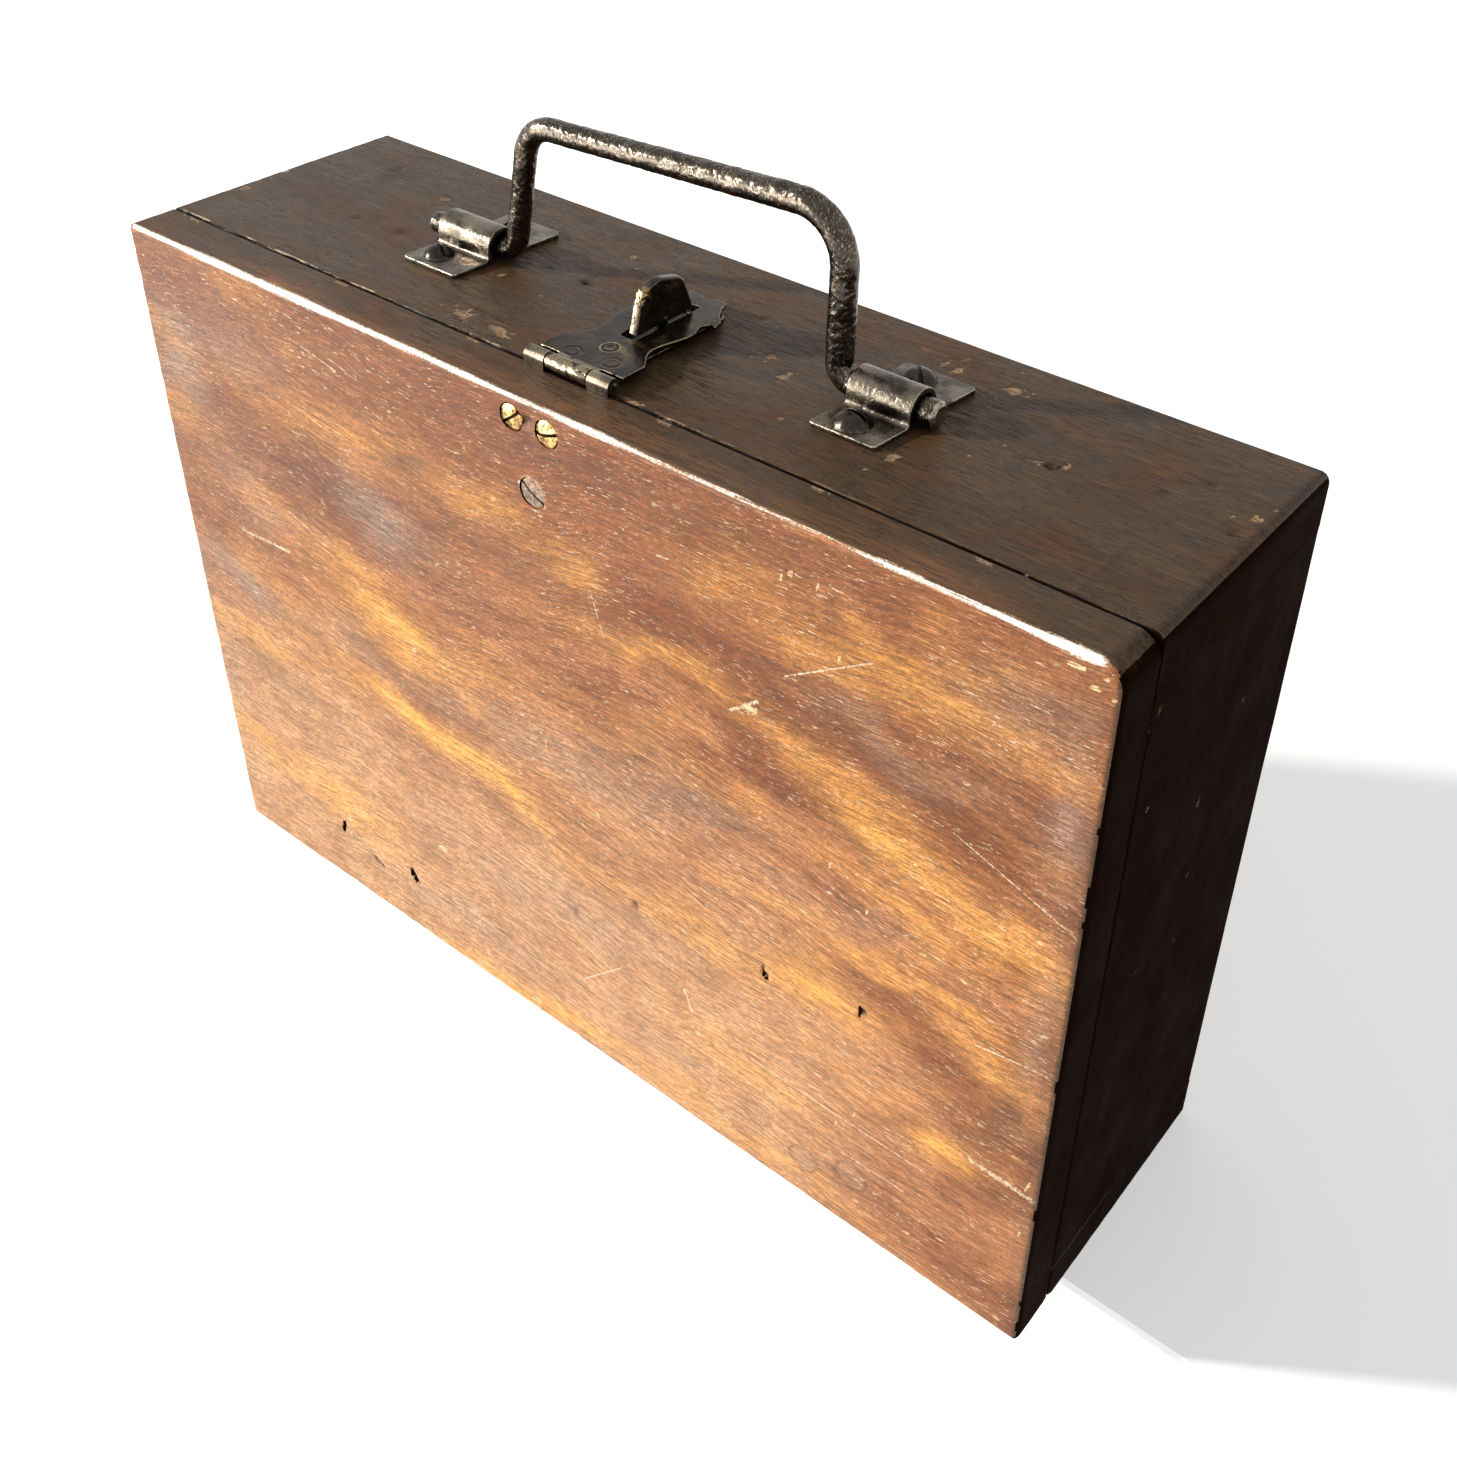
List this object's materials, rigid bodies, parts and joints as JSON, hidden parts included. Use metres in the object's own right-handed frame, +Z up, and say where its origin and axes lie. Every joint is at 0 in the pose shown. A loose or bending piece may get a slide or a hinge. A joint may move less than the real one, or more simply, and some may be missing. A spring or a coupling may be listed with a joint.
{
  "type": "wooden shoe shine box",
  "caption": "Upright suitcase-shaped wooden box with a drop-down front lid, a swinging rod handle on top and a hasp that a turn knob holds shut.",
  "frame": {"origin": "on the bottom plane, in the middle of the box seen from above", "axes": "+X along the box to the right seen from the lid's side, +Y from the lid to the back, +Z up"},
  "size_m": [0.356, 0.1044, 0.3043],
  "materials": {
    "lid_wood": "reddish brown stained board, worn to pale wood at its edges",
    "case_wood": "dark brown varnish, satin, worn at the edges",
    "panel_wood": "thin unpainted board",
    "hasp_steel": "bare steel worn dark, pitted, with a little rust",
    "handle_steel": "bare steel worn dark, pitted, with a little rust",
    "saddle_steel": "bare steel worn dark, pitted, with a little rust",
    "hinge_steel": "dull steel",
    "screw_steel": "bare steel worn dark, pitted, with a little rust",
    "screw_brass": "brass with old paint in the slots",
    "nail_steel": "dull steel"
  },
  "bodies": {
    "case": {"case_top_board": "case_wood", "case_bottom_board": "case_wood", "case_left_end": "case_wood", "case_right_end": "case_wood", "case_back_panel": "panel_wood", "top_board_nails": "nail_steel", "bottom_board_nails": "nail_steel", "back_panel_pins": "nail_steel", "hinge_case_screws": "hinge_steel", "hinge_left_case_leaf": "hinge_steel", "hinge_right_case_leaf": "hinge_steel", "hinge_left_pin": "hinge_steel", "hinge_right_pin": "hinge_steel", "knob_plate": "hasp_steel", "knob_plate_screws": "screw_steel", "handle_saddle_left": "saddle_steel", "handle_saddle_right": "saddle_steel", "saddle_screws_left": "screw_steel", "saddle_screws_right": "screw_steel"},
    "lid": {"lid_board": "lid_wood", "hinge_left_lid_leaf": "hinge_steel", "hinge_right_lid_leaf": "hinge_steel", "hinge_lid_screws": "hinge_steel", "hasp_base_leaf": "hasp_steel", "hasp_pin": "hasp_steel", "hasp_brass_screws": "screw_brass", "hasp_iron_screw": "screw_steel"},
    "hasp": {"hasp_leaf": "hasp_steel"},
    "knob": {"turn_knob": "hasp_steel"},
    "handle": {"handle_bail": "handle_steel"}
  },
  "joints": [
    {"name": "lid_hinge", "type": "hinge", "parent": "case", "child": "lid", "pos_m": [0, -0.0357, 0.00285], "axis": [1, 0, 0], "range_deg": [0, 100]},
    {"name": "hasp_hinge", "type": "hinge", "parent": "lid", "child": "hasp", "pos_m": [-0.0014, -0.035, 0.25255], "axis": [1, 0, 0], "range_deg": [0, 180]},
    {"name": "knob_turn", "type": "hinge", "parent": "case", "child": "knob", "pos_m": [-0.0003, 0.0002, 0.25], "axis": [0, 0, 1], "continuous": true},
    {"name": "handle_swing", "type": "hinge", "parent": "case", "child": "handle", "pos_m": [0, 0.0058, 0.25425], "axis": [1, 0, 0], "range_deg": [-88, 80]}
  ]
}
